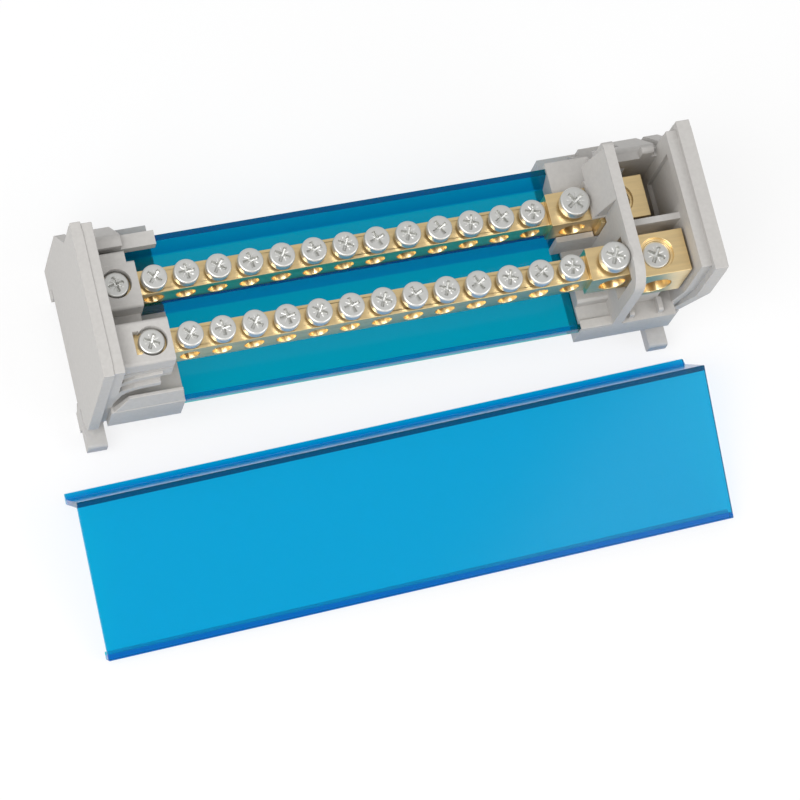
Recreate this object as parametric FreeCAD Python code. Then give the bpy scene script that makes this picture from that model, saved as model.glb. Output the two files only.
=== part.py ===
import FreeCAD, Part
import math
import os

# Two-pole power distribution block. Millimetres.
# X runs along the block towards the incoming terminals, +Y points to the back, +Z is up.
# Z = 0 is the plane that the feet stand on. X = 0 is the block's mid-length.
# Y = 0 is the middle of its raised nose.

# Overall sizes
NOSE_WIDTH = 44.5
NOSE_TOP_Z = 62.0
SHOULDER_Z = 46.0
SHOULDER_FOOT_Z = 31.0
BASE_BACK_Y = 30.5
BASE_FRONT_Y = -22.0

# Mounting rail recess
RAIL_SEAT_Z = 6.5
RAIL_WIDTH = 35.0
RAIL_FRONT_Y = -12.4
RAIL_LIP = 2.0
RAIL_FLANGE = 1.3

# Rows of terminals
PITCH = 9.0
OUTGOING_COUNT = 13
REAR_ROW_Y = 8.2
FRONT_ROW_Y = -12.2
ROW_OFFSET = 12.0
ROW_STAGGER = 4.5
END_SCREW_STEP = 10.6
BRANCH_STEP = 11.8
INCOMING_STEP = 13.2

# Busbar sections
REAR_BAR_BOTTOM_Z = 34.4
ROW_RISE = 9.0
BAR_WIDTH = 7.0
BAR_HEIGHT = 8.8
BRANCH_WIDTH = 9.5
BRANCH_HEIGHT = 11.2
BRANCH_LEAD = 7.0
CUBE_WIDTH = 12.4
CUBE_HEIGHT = 16.3
CUBE_RISE = 1.8
CUBE_LEAD = 5.9
CUBE_TAIL = 8.7
BAR_TAIL = 5.0

# Wire holes
OUTGOING_HOLE_D = 5.5
OUTGOING_HOLE_FLOOR = 1.2
BRANCH_HOLE_D = 7.5
BRANCH_HOLE_FLOOR = 1.2
INCOMING_HOLE_D = 9.5
INCOMING_HOLE_FLOOR = 1.6
CABLE_PLAY = 1.25

# Screws
SMALL_THREAD_D = 5.0
SMALL_HEAD_D = 7.2
SMALL_HEAD_H = 2.6
SMALL_HEAD_GAP = 1.2
BRANCH_THREAD_D = 6.0
BRANCH_HEAD_D = 8.4
BRANCH_HEAD_H = 3.0
BRANCH_HEAD_GAP = 1.4
INCOMING_THREAD_D = 8.0
INCOMING_MOUTH_D = 9.4
INCOMING_RECESS = 1.0
THREAD_END_CLEARANCE = 0.1
END_SCREW_GRIP = 4.0

# Plastic base channel
CHANNEL_WALL = 1.7
CHANNEL_END_PLAY = 0.5
CHANNEL_SEAT_DEPTH = 2.0
FLOOR_TOP_Z = 24.3
SHELF_FRONT_Y = 4.2
SHELF_BACK_Y = 18.1
BACK_WALL_TOP_Y = 20.0
BACK_WALL_TOP_Z = 41.5
LIP_FRONT_Y = -21.5
LIP_TOP_Z = 25.9

# End supports
PLATE_THICKNESS = 6.0
PLATE_LAYER = 3.0
PLATE_STEP = 1.8
PLATE_CORNER_R = 3.2
DECK_BOTTOM_Z = 15.2
SUPPORT_SKIN = 1.3
LEFT_LEAD = 22.0
LEFT_SUPPORT_LENGTH = 26.3
RIGHT_SUPPORT_LEAD = 5.3
LEDGE_LEAD = 5.2
LEDGE_COVER = 3.2
PARTITION_LEAD = 3.9
PARTITION_THICKNESS = 3.0
PARTITION_TOP_Z = 61.0
RIGHT_PLATE_GAP = 0.8
RIGHT_PLATE_THICKNESS = 7.0
COMPARTMENT_WALL_Z = 47.0
FOOT_TAB_Y = -25.5
LEFT_FOOT_FRONT_Y = -18.2
LEFT_FOOT_STEP_Z = 14.5
RIGHT_FOOT_FRONT_Y = -16.2
RIGHT_FOOT_STEP_Z = 40.0
TAB_WIDTH = 5.6
RIGHT_TAB_SHIFT = 4.2
BRACKET_RADIUS = 13.0
WEB_TOP_Z = 40.0
WALL_CLIP_SKIN = 1.2
LEDGE_EDGE_R = 1.0
FIT_PLAY = 0.25
BRANCH_HOUSING_LEAD = 3.8
HEAD_CLEARANCE = 0.4
BRANCH_SKIN = 1.6

# Clip-on cover, taken off and lying in front of the block
COVER_OVERHANG = 8.0
COVER_WIDTH = 44.5
COVER_WALL = 1.6
COVER_BACK_FLANGE = 20.0
COVER_FRONT_LIP = 4.8
COVER_BEAD = 1.5
COVER_CENTRE_X = -4.3
COVER_BACK_Y = -39.8
COVER_TURN_DEG = 2.0

# Sizes that follow from the ones above
ROW_SPAN = PITCH * (OUTGOING_COUNT - 1)
REAR_FIRST_X = -ROW_SPAN / 2.0 - ROW_OFFSET
FRONT_FIRST_X = REAR_FIRST_X + ROW_STAGGER
REAR_BRANCH_X = REAR_FIRST_X + ROW_SPAN + BRANCH_STEP
FRONT_BRANCH_X = FRONT_FIRST_X + ROW_SPAN + BRANCH_STEP
LEFT_END_X = REAR_FIRST_X - LEFT_LEAD
CHANNEL_START_X = LEFT_END_X + PLATE_THICKNESS + CHANNEL_SEAT_DEPTH
CHANNEL_END_X = REAR_BRANCH_X + INCOMING_STEP - CUBE_LEAD - CHANNEL_END_PLAY
LEFT_SUPPORT_END_X = LEFT_END_X + LEFT_SUPPORT_LENGTH
RIGHT_SUPPORT_START_X = FRONT_BRANCH_X - RIGHT_SUPPORT_LEAD
PARTITION_X = FRONT_BRANCH_X + PARTITION_LEAD
RIGHT_PLATE_X = FRONT_BRANCH_X + INCOMING_STEP + CUBE_TAIL + RIGHT_PLATE_GAP
RIGHT_END_X = RIGHT_PLATE_X + RIGHT_PLATE_THICKNESS
RIGHT_TAB_X = RIGHT_PLATE_X - RIGHT_TAB_SHIFT
BRANCH_HOUSING_X = REAR_BRANCH_X - BRANCH_HOUSING_LEAD
BRANCH_ROOF_X = REAR_BRANCH_X + BRANCH_HEAD_D / 2.0 + HEAD_CLEARANCE
COVER_LENGTH = RIGHT_END_X - LEFT_END_X + COVER_OVERHANG
HALF_NOSE = NOSE_WIDTH / 2.0
FRONT_BAR_BOTTOM_Z = REAR_BAR_BOTTOM_Z + ROW_RISE
RAIL_BACK_Y = RAIL_FRONT_Y + RAIL_WIDTH
SHELF_TOP_Z = REAR_BAR_BOTTOM_Z

X_AXIS = FreeCAD.Vector(1, 0, 0)
Y_AXIS = FreeCAD.Vector(0, 1, 0)
Z_AXIS = FreeCAD.Vector(0, 0, 1)


def block(x0, x1, y0, y1, z0, z1):
    """Box between two opposite corners."""
    corner = FreeCAD.Vector(x0, y0, z0)
    return Part.makeBox(x1 - x0, y1 - y0, z1 - z0, corner)


def profile(points, x0, x1):
    """Closed outline of (Y, Z) points extruded along X."""
    corners = [FreeCAD.Vector(x0, y, z) for y, z in points]
    corners.append(corners[0])
    face = Part.Face(Part.makePolygon(corners))
    return face.extrude(FreeCAD.Vector(x1 - x0, 0, 0))


def corner_arc(before, corner, after, radius):
    """Arc that rounds one corner of an outline."""
    to_before = (before - corner).normalize()
    to_after = (after - corner).normalize()
    half_angle = to_before.getAngle(to_after) / 2.0
    reach = radius / math.tan(half_angle)
    middle = (to_before + to_after).normalize()
    depth = radius / math.sin(half_angle) - radius
    return Part.Arc(corner + to_before * reach, corner + middle * depth, corner + to_after * reach)


def rounded_profile(corners, x0, x1):
    """Closed outline of (Y, Z, corner radius) extruded along X."""
    points = [FreeCAD.Vector(x0, y, z) for y, z, radius in corners]
    count = len(points)
    pieces = []
    for index in range(count):
        radius = corners[index][2]
        if radius > 0.0:
            arc = corner_arc(points[index - 1], points[index], points[(index + 1) % count], radius)
            pieces.append((arc.StartPoint, arc.EndPoint, arc.toShape()))
        else:
            pieces.append((points[index], points[index], None))
    edges = []
    for index in range(count):
        end_point = pieces[index][1]
        next_point = pieces[(index + 1) % count][0]
        if pieces[index][2] is not None:
            edges.append(pieces[index][2])
        if end_point.distanceToPoint(next_point) > 1e-6:
            edges.append(Part.makeLine(end_point, next_point))
    face = Part.Face(Part.Wire(edges))
    return face.extrude(FreeCAD.Vector(x1 - x0, 0, 0))


def rod(diameter, length, x, y, z, axis):
    """Cylinder that starts at a point and runs along an axis."""
    start = FreeCAD.Vector(x, y, z)
    return Part.makeCylinder(diameter / 2.0, length, start, axis)


def joined(solids):
    """One solid from touching or overlapping ones."""
    whole = solids[0].multiFuse(solids[1:])
    return whole.removeSplitter()


def screw_row_x(first_x):
    """Positions of the outgoing screws of one row."""
    return [first_x + PITCH * index for index in range(OUTGOING_COUNT)]


def branch_x(first_x):
    """Position of the branch terminal of one row."""
    return first_x + ROW_SPAN + BRANCH_STEP


def incoming_x(first_x):
    """Position of the incoming terminal of one row."""
    return branch_x(first_x) + INCOMING_STEP


def end_screw_x(first_x):
    """Position of the screw that holds the bar to the left support."""
    return first_x - END_SCREW_STEP


def bar_start_x(first_x):
    """Left end of one row's bar."""
    return end_screw_x(first_x) - BAR_TAIL


def cube_top_z(bottom_z):
    """Top of the incoming cube of a bar."""
    return bottom_z + BAR_HEIGHT + CUBE_RISE


def cube_bottom_z(bottom_z):
    """Underside of the incoming cube of a bar."""
    return cube_top_z(bottom_z) - CUBE_HEIGHT


def outgoing_hole_z(bottom_z):
    """Height of the outgoing wire holes' axis."""
    return bottom_z + OUTGOING_HOLE_FLOOR + OUTGOING_HOLE_D / 2.0


def branch_hole_z(bottom_z):
    """Height of the branch wire hole's axis."""
    return bottom_z + BRANCH_HOLE_FLOOR + BRANCH_HOLE_D / 2.0


def incoming_hole_z(bottom_z):
    """Height of the incoming cable hole's axis."""
    return cube_bottom_z(bottom_z) + INCOMING_HOLE_FLOOR + INCOMING_HOLE_D / 2.0


def make_busbar(first_x, row_y, bottom_z):
    """Stepped bar: slender row, branch section and incoming cube, machined from one piece."""
    bar_top = bottom_z + BAR_HEIGHT
    branch_top = bottom_z + BRANCH_HEIGHT
    cube_top = cube_top_z(bottom_z)
    start = bar_start_x(first_x)
    branch = branch_x(first_x)
    incoming = incoming_x(first_x)
    branch_start = branch - BRANCH_LEAD
    cube_start = incoming - CUBE_LEAD
    half_bar = BAR_WIDTH / 2.0
    half_branch = BRANCH_WIDTH / 2.0
    half_cube = CUBE_WIDTH / 2.0
    slender = block(start, branch_start + 1.0, row_y - half_bar, row_y + half_bar, bottom_z, bar_top)
    middle = block(branch_start, cube_start + 1.0, row_y - half_branch, row_y + half_branch,
                   bottom_z, branch_top)
    cube = block(cube_start, incoming + CUBE_TAIL, row_y - half_cube, row_y + half_cube,
                 cube_bottom_z(bottom_z), cube_top)
    bar = joined([slender, middle, cube])
    cuts = []
    reach = CUBE_WIDTH + 2.0
    low_y = row_y - reach / 2.0
    for x in screw_row_x(first_x):
        hole_z = outgoing_hole_z(bottom_z)
        cuts.append(rod(OUTGOING_HOLE_D, reach, x, low_y, hole_z, Y_AXIS))
        cuts.append(rod(SMALL_THREAD_D, BAR_HEIGHT, x, row_y, hole_z, Z_AXIS))
    cuts.append(rod(BRANCH_HOLE_D, reach, branch, low_y, branch_hole_z(bottom_z), Y_AXIS))
    cuts.append(rod(BRANCH_THREAD_D, BRANCH_HEIGHT, branch, row_y, branch_hole_z(bottom_z), Z_AXIS))
    cuts.append(rod(INCOMING_HOLE_D, reach, incoming, low_y, incoming_hole_z(bottom_z), Y_AXIS))
    cuts.append(rod(INCOMING_THREAD_D, CUBE_HEIGHT, incoming, row_y, incoming_hole_z(bottom_z), Z_AXIS))
    cuts.append(rod(INCOMING_MOUTH_D, INCOMING_RECESS, incoming, row_y, cube_top - INCOMING_RECESS, Z_AXIS))
    cuts.append(rod(SMALL_THREAD_D, BAR_HEIGHT + 2.0, end_screw_x(first_x), row_y, bottom_z - 1.0, Z_AXIS))
    return bar.cut(Part.makeCompound(cuts))


def make_headed_screw(x, y, head_bottom_z, end_z, thread_d, head_d, head_h):
    """Cylinder-head screw."""
    shank = rod(thread_d, head_bottom_z - end_z + 0.5, x, y, end_z, Z_AXIS)
    head = rod(head_d, head_h, x, y, head_bottom_z, Z_AXIS)
    return joined([shank, head])


def make_outgoing_screws(first_x, row_y, bottom_z):
    """The row of small clamping screws, backed out so that the wire holes are open."""
    bar_top = bottom_z + BAR_HEIGHT
    hole_top = outgoing_hole_z(bottom_z) + OUTGOING_HOLE_D / 2.0
    head_bottom = bar_top + SMALL_HEAD_GAP
    end_z = hole_top + THREAD_END_CLEARANCE
    screws = []
    for x in screw_row_x(first_x):
        screws.append(make_headed_screw(x, row_y, head_bottom, end_z,
                                        SMALL_THREAD_D, SMALL_HEAD_D, SMALL_HEAD_H))
    return Part.makeCompound(screws)


def make_branch_screw(first_x, row_y, bottom_z):
    """The larger screw of the branch terminal."""
    head_bottom = bottom_z + BRANCH_HEIGHT + BRANCH_HEAD_GAP
    end_z = branch_hole_z(bottom_z) + BRANCH_HOLE_D / 2.0 + THREAD_END_CLEARANCE
    return make_headed_screw(branch_x(first_x), row_y, head_bottom, end_z,
                             BRANCH_THREAD_D, BRANCH_HEAD_D, BRANCH_HEAD_H)


def make_end_screw(first_x, row_y, bottom_z):
    """The screw through the bar's left end into the support, tight on the bar."""
    head_bottom = bottom_z + BAR_HEIGHT
    end_z = bottom_z - END_SCREW_GRIP
    return make_headed_screw(end_screw_x(first_x), row_y, head_bottom, end_z,
                             SMALL_THREAD_D, SMALL_HEAD_D, SMALL_HEAD_H)


def make_incoming_screw(first_x, row_y, bottom_z):
    """Headless clamping screw sunk in the cube."""
    x = incoming_x(first_x)
    top_z = cube_top_z(bottom_z) - INCOMING_RECESS
    end_z = incoming_hole_z(bottom_z) + INCOMING_HOLE_D / 2.0 + THREAD_END_CLEARANCE
    return rod(INCOMING_THREAD_D, top_z - end_z, x, row_y, end_z, Z_AXIS)


def channel_outline():
    """Section of the base channel, upper side first and then back along the underside."""
    wall = CHANNEL_WALL
    lean = BACK_WALL_TOP_Y - SHELF_BACK_Y
    return [
        (LIP_FRONT_Y, LIP_TOP_Z),
        (LIP_FRONT_Y + 1.4, LIP_TOP_Z),
        (LIP_FRONT_Y + 1.4, FLOOR_TOP_Z),
        (SHELF_FRONT_Y, FLOOR_TOP_Z),
        (SHELF_FRONT_Y, SHELF_TOP_Z),
        (SHELF_BACK_Y, SHELF_TOP_Z),
        (BACK_WALL_TOP_Y, BACK_WALL_TOP_Z),
        (BACK_WALL_TOP_Y + wall, BACK_WALL_TOP_Z),
        (BACK_WALL_TOP_Y + wall - lean, SHELF_TOP_Z - wall),
        (SHELF_FRONT_Y + wall, SHELF_TOP_Z - wall),
        (SHELF_FRONT_Y + wall, FLOOR_TOP_Z - wall),
        (LIP_FRONT_Y, FLOOR_TOP_Z - wall),
    ]


def channel_seat():
    """Undrilled shape of the channel, also the slot that it fills in the supports."""
    return profile(channel_outline(), CHANNEL_START_X, CHANNEL_END_X)


def make_base_channel():
    """Stepped translucent channel, drilled for the screw at the rear bar's left end."""
    screw_x = end_screw_x(REAR_FIRST_X)
    low_z = REAR_BAR_BOTTOM_Z - END_SCREW_GRIP - THREAD_END_CLEARANCE
    hole = rod(SMALL_THREAD_D, END_SCREW_GRIP + 1.0, screw_x, REAR_ROW_Y, low_z, Z_AXIS)
    return channel_seat().cut(hole)


def foot_cuts(x0, x1):
    """Space of the rail with the hooked rear edge and the sprung front edge."""
    lip_top = RAIL_SEAT_Z - RAIL_FLANGE
    lip_bottom = 2.6
    rail_space = profile([
        (RAIL_FRONT_Y, RAIL_SEAT_Z),
        (RAIL_FRONT_Y, lip_top),
        (RAIL_FRONT_Y + RAIL_LIP * 0.7, lip_top),
        (RAIL_FRONT_Y, lip_bottom),
        (RAIL_FRONT_Y, -5.0),
        (RAIL_BACK_Y, -5.0),
        (RAIL_BACK_Y - RAIL_LIP, 1.6),
        (RAIL_BACK_Y - RAIL_LIP, lip_top),
        (RAIL_BACK_Y + 0.3, lip_top),
        (RAIL_BACK_Y + 0.3, RAIL_SEAT_Z),
    ], x0, x1)
    return rail_space


def end_plate(inset, foot_front_y, foot_step_z, x0, x1):
    """One layer of an end plate: nose with round corners, sloping back and set-back front foot."""
    back_y = BASE_BACK_Y - inset
    nose_back = HALF_NOSE - inset
    nose_front = BASE_FRONT_Y + inset
    top_z = NOSE_TOP_Z - inset
    return rounded_profile([
        (foot_front_y, 0.0, 0.0),
        (foot_front_y, 9.8, 0.0),
        (nose_front, foot_step_z, 0.0),
        (nose_front, top_z, PLATE_CORNER_R),
        (nose_back, top_z, PLATE_CORNER_R),
        (nose_back, SHOULDER_Z, 2.0),
        (back_y - 0.5, SHOULDER_FOOT_Z, 4.0),
        (back_y, 11.0, 0.0),
        (back_y, 0.0, 0.0),
    ], x0, x1)


def spring_slot(x0, x1):
    """Slot above the sprung front foot."""
    return block(x0 - 1.0, x1 + 1.0, BASE_FRONT_Y - 1.0, RAIL_FRONT_Y - 1.6, 8.6, 9.8)


def release_tab(x0, foot_front_y):
    """Tab in front of a sprung foot, with round edges."""
    return rounded_profile([
        (foot_front_y + 1.0, 3.4, 0.0),
        (FOOT_TAB_Y, 3.4, 1.0),
        (FOOT_TAB_Y, 8.0, 1.0),
        (foot_front_y + 1.0, 8.0, 0.0),
    ], x0, x0 + TAB_WIDTH)


def wall_clip(x0, x1):
    """Strip that caps the top of the channel's back wall."""
    return block(x0, x1, BACK_WALL_TOP_Y - WALL_CLIP_SKIN, BACK_WALL_TOP_Y + CHANNEL_WALL + WALL_CLIP_SKIN,
                 BACK_WALL_TOP_Z - 2.0, BACK_WALL_TOP_Z + WALL_CLIP_SKIN)


def ledge_bracket(x0, x1, y0, y1, top_z):
    """Corner bracket between the end plate and a ledge, with a hollow quarter-round underside."""
    corner = FreeCAD.Vector(x0, y0, top_z)
    low = FreeCAD.Vector(x0, y0, top_z - BRACKET_RADIUS)
    outer = FreeCAD.Vector(x0 + BRACKET_RADIUS, y0, top_z)
    bend = BRACKET_RADIUS * (1.0 - math.sqrt(0.5))
    middle = FreeCAD.Vector(x0 + bend, y0, top_z - bend)
    curve = Part.Arc(outer, middle, low).toShape()
    wire = Part.Wire([Part.makeLine(corner, outer), curve, Part.makeLine(low, corner)])
    return Part.Face(wire).extrude(FreeCAD.Vector(0, y1 - y0, 0))


def leg_rib(x0, x1):
    """Rib under the deck that also sits on the rail and hooks behind it."""
    return profile([
        (BASE_FRONT_Y + 0.8, DECK_BOTTOM_Z + 1.0),
        (RAIL_FRONT_Y - 4.0, RAIL_SEAT_Z + 3.5),
        (RAIL_FRONT_Y - 4.0, RAIL_SEAT_Z),
        (RAIL_BACK_Y + 0.3, RAIL_SEAT_Z),
        (RAIL_BACK_Y + 0.3, RAIL_SEAT_Z - RAIL_FLANGE),
        (RAIL_BACK_Y - RAIL_LIP, RAIL_SEAT_Z - RAIL_FLANGE),
        (RAIL_BACK_Y - RAIL_LIP, 1.6),
        (RAIL_BACK_Y, 0.0),
        (BASE_BACK_Y - 0.5, 0.0),
        (BASE_BACK_Y - 0.5, DECK_BOTTOM_Z + 1.0),
    ], x0, x1)


def shoulder(x0, x1):
    """Hollow sloping back of a support, behind the channel."""
    return rounded_profile([
        (BASE_BACK_Y - 6.0, DECK_BOTTOM_Z, 0.0),
        (BASE_BACK_Y, DECK_BOTTOM_Z, 0.0),
        (BASE_BACK_Y - 0.5, SHOULDER_FOOT_Z, 4.0),
        (HALF_NOSE, SHOULDER_Z, 2.5),
        (HALF_NOSE - 3.4, SHOULDER_Z, 0.0),
        (HALF_NOSE - 3.4, SHELF_TOP_Z, 0.0),
    ], x0, x1)


def ledge(x0, x1, y0, y1, z0, z1):
    """Moulded ledge along X with round top edges."""
    return rounded_profile([
        (y0, z0, 0.0),
        (y0, z1, LEDGE_EDGE_R),
        (y1, z1, LEDGE_EDGE_R),
        (y1, z0, 0.0),
    ], x0, x1)


def bar_pocket(first_x, row_y, bottom_z):
    """Socket of one bar's left end, with the well and the hole of its screw."""
    half_bar = BAR_WIDTH / 2.0
    screw_x = end_screw_x(first_x)
    bar_top = bottom_z + BAR_HEIGHT
    low_z = bottom_z - END_SCREW_GRIP - THREAD_END_CLEARANCE
    socket = block(bar_start_x(first_x), first_x, row_y - half_bar, row_y + half_bar, bottom_z, bar_top)
    well = rod(SMALL_HEAD_D + 1.3, LEDGE_COVER + 1.0, screw_x, row_y, bar_top, Z_AXIS)
    hole = rod(SMALL_THREAD_D, END_SCREW_GRIP + 1.0, screw_x, row_y, low_z, Z_AXIS)
    return [socket, well, hole]


def left_housings(inner, front_end, rear_end):
    """Two housings for the bars' left ends, with the web between them and the bracket in front."""
    front_low_z = FRONT_BAR_BOTTOM_Z - 9.5
    front_top = FRONT_BAR_BOTTOM_Z + BAR_HEIGHT + LEDGE_COVER
    rear_top = REAR_BAR_BOTTOM_Z + BAR_HEIGHT + LEDGE_COVER
    front_y0 = FRONT_ROW_Y - 6.2
    front_y1 = FRONT_ROW_Y + 6.3
    rear_y0 = REAR_ROW_Y - 7.4
    rear_y1 = REAR_ROW_Y + 6.0
    return [
        ledge(inner, front_end, front_y0, front_y1, front_low_z, front_top),
        ledge(inner, front_end - 1.2, FRONT_ROW_Y - 3.4, FRONT_ROW_Y + 5.2, FLOOR_TOP_Z, front_low_z + 2.0),
        ledge_bracket(inner, LEFT_SUPPORT_END_X, front_y0, front_y0 + 3.2, front_low_z + 0.5),
        ledge(inner, rear_end, rear_y0, rear_y1, FLOOR_TOP_Z, rear_top),
        ledge(inner, rear_end - 0.4, front_y1 - 1.5, rear_y0 + 1.5, LIP_TOP_Z, WEB_TOP_Z),
        ledge(inner, rear_end - 2.2, rear_y1 - 1.5, REAR_ROW_Y + 9.2, REAR_BAR_BOTTOM_Z - 5.0, rear_top),
    ]


def make_left_support():
    """Left moulding: end plate, two bar-end housings, deck and rail feet."""
    start = LEFT_END_X
    plate_end = start + PLATE_THICKNESS
    inner = plate_end - 0.5
    step_x = start + PLATE_LAYER
    end = LEFT_SUPPORT_END_X
    front_end = FRONT_FIRST_X - LEDGE_LEAD
    rear_end = REAR_FIRST_X - LEDGE_LEAD + 0.8
    deck_top = LIP_TOP_Z + 0.9
    body = joined(left_housings(inner, front_end, rear_end) + [
        end_plate(0.0, LEFT_FOOT_FRONT_Y, LEFT_FOOT_STEP_Z, start, step_x),
        end_plate(PLATE_STEP, LEFT_FOOT_FRONT_Y, LEFT_FOOT_STEP_Z, step_x - 0.1, plate_end),
        release_tab(start, LEFT_FOOT_FRONT_Y),
        block(inner, end, BASE_FRONT_Y, BASE_BACK_Y - 0.5, DECK_BOTTOM_Z, deck_top),
        wall_clip(inner, end - 1.0),
        shoulder(inner, rear_end - 2.2),
        leg_rib(end - 3.6, end - 1.2),
    ])
    front_y = FRONT_ROW_Y - 7.0
    groove_z = FRONT_BAR_BOTTOM_Z - 0.5
    groove = block(plate_end, front_end + 1.0, front_y, front_y + 1.4, groove_z, groove_z + 0.9)
    relief_x = REAR_FIRST_X - OUTGOING_HOLE_D / 2.0 - 0.85
    wire_relief = block(relief_x, front_end + 1.0, FRONT_ROW_Y - 8.0, FRONT_ROW_Y + 8.0,
                        deck_top, FRONT_BAR_BOTTOM_Z - 1.2)
    top_z = FRONT_BAR_BOTTOM_Z + BAR_HEIGHT
    window = block(bar_start_x(FRONT_FIRST_X) + 0.2, end_screw_x(FRONT_FIRST_X) - 3.1,
                   FRONT_ROW_Y - 3.3, FRONT_ROW_Y + 3.3, top_z - 0.1, top_z + LEDGE_COVER + 1.0)
    cuts = [
        spring_slot(start, plate_end),
        foot_cuts(start - 1.0, plate_end + 1.0),
        channel_seat(),
        groove,
        groove.translated(Z_AXIS * 5.2),
        wire_relief,
        window,
    ]
    cuts += bar_pocket(FRONT_FIRST_X, FRONT_ROW_Y, FRONT_BAR_BOTTOM_Z)
    cuts += bar_pocket(REAR_FIRST_X, REAR_ROW_Y, REAR_BAR_BOTTOM_Z)
    return body.cut(Part.makeCompound(cuts))


def partition_wall():
    """Wall between the branch terminals and the incoming terminals, with a round front corner."""
    return rounded_profile([
        (BASE_FRONT_Y, DECK_BOTTOM_Z, 0.0),
        (BASE_FRONT_Y, PARTITION_TOP_Z, 8.0),
        (HALF_NOSE - 2.0, PARTITION_TOP_Z, 1.5),
        (HALF_NOSE - 1.6, SHOULDER_Z, 0.0),
        (BASE_BACK_Y - 0.5, 24.0, 0.0),
        (BASE_BACK_Y - 0.5, DECK_BOTTOM_Z, 0.0),
    ], PARTITION_X, PARTITION_X + PARTITION_THICKNESS)


def branch_housing(deck_top):
    """Moulded housing round the rear bar's branch section, with a roof next to the partition."""
    start = BRANCH_HOUSING_X
    end = PARTITION_X + 0.5
    half = BRANCH_WIDTH / 2.0 + 0.15
    front_y = REAR_ROW_Y - half
    back_y = REAR_ROW_Y + half
    roof_z = REAR_BAR_BOTTOM_Z + BRANCH_HEIGHT + 0.2
    roof = ledge(BRANCH_ROOF_X, end, front_y, back_y + BRANCH_SKIN, SHELF_TOP_Z, roof_z + BRANCH_SKIN)
    under_roof = block(BRANCH_ROOF_X - 1.0, end + 1.0, front_y - 1.0, back_y, SHELF_TOP_Z - 1.0, roof_z)
    return [
        block(start, end, front_y - BRANCH_SKIN, front_y, deck_top - 0.5, SHELF_TOP_Z + 0.8),
        block(start, end, back_y, BACK_WALL_TOP_Y, SHELF_TOP_Z, BACK_WALL_TOP_Z + WALL_CLIP_SKIN),
        block(RIGHT_SUPPORT_START_X + 2.0, end, SHELF_FRONT_Y + CHANNEL_WALL, SHELF_BACK_Y - 2.0,
              FLOOR_TOP_Z, SHELF_TOP_Z - CHANNEL_WALL),
        ledge(RIGHT_SUPPORT_START_X, end, FRONT_ROW_Y - 2.8, FRONT_ROW_Y + 2.8,
              deck_top - 0.5, deck_top + 4.0),
        wall_clip(start, end),
        roof.cut(under_roof),
    ]


def incoming_compartment(deck_top):
    """Rear wall, post, divider, saddles and floor ribs round the incoming cubes."""
    start = PARTITION_X + PARTITION_THICKNESS - 0.5
    end = RIGHT_PLATE_X + 0.5
    wall_y0 = HALF_NOSE - 4.0
    wall_y1 = HALF_NOSE - 1.8
    divider_y = (FRONT_ROW_Y + REAR_ROW_Y) / 2.0
    front_x = incoming_x(FRONT_FIRST_X)
    rear_x = incoming_x(REAR_FIRST_X)
    low_z = deck_top - 0.5
    pieces = [
        block(start, end, wall_y0, wall_y1, DECK_BOTTOM_Z, COMPARTMENT_WALL_Z),
        ledge(end - 5.5, end - 2.0, wall_y0, wall_y1, COMPARTMENT_WALL_Z - 0.5, COMPARTMENT_WALL_Z + 4.0),
        block(start, end, divider_y - 0.9, divider_y + 0.9, low_z, cube_top_z(FRONT_BAR_BOTTOM_Z) - 1.0),
        block(front_x - 3.0, front_x + 5.0, FRONT_ROW_Y - 4.6, divider_y - 0.5,
              low_z, cube_bottom_z(FRONT_BAR_BOTTOM_Z)),
        block(start, rear_x + 5.0, REAR_ROW_Y - 4.0, REAR_ROW_Y + 4.0,
              low_z, cube_bottom_z(REAR_BAR_BOTTOM_Z)),
        shoulder(start, end),
    ]
    for rib_x in (start + 2.7, end - 5.5):
        pieces.append(ledge(rib_x, rib_x + 1.4, BASE_FRONT_Y + 1.0, FRONT_ROW_Y - 4.0,
                            low_z, deck_top + 3.0))
    return pieces


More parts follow.
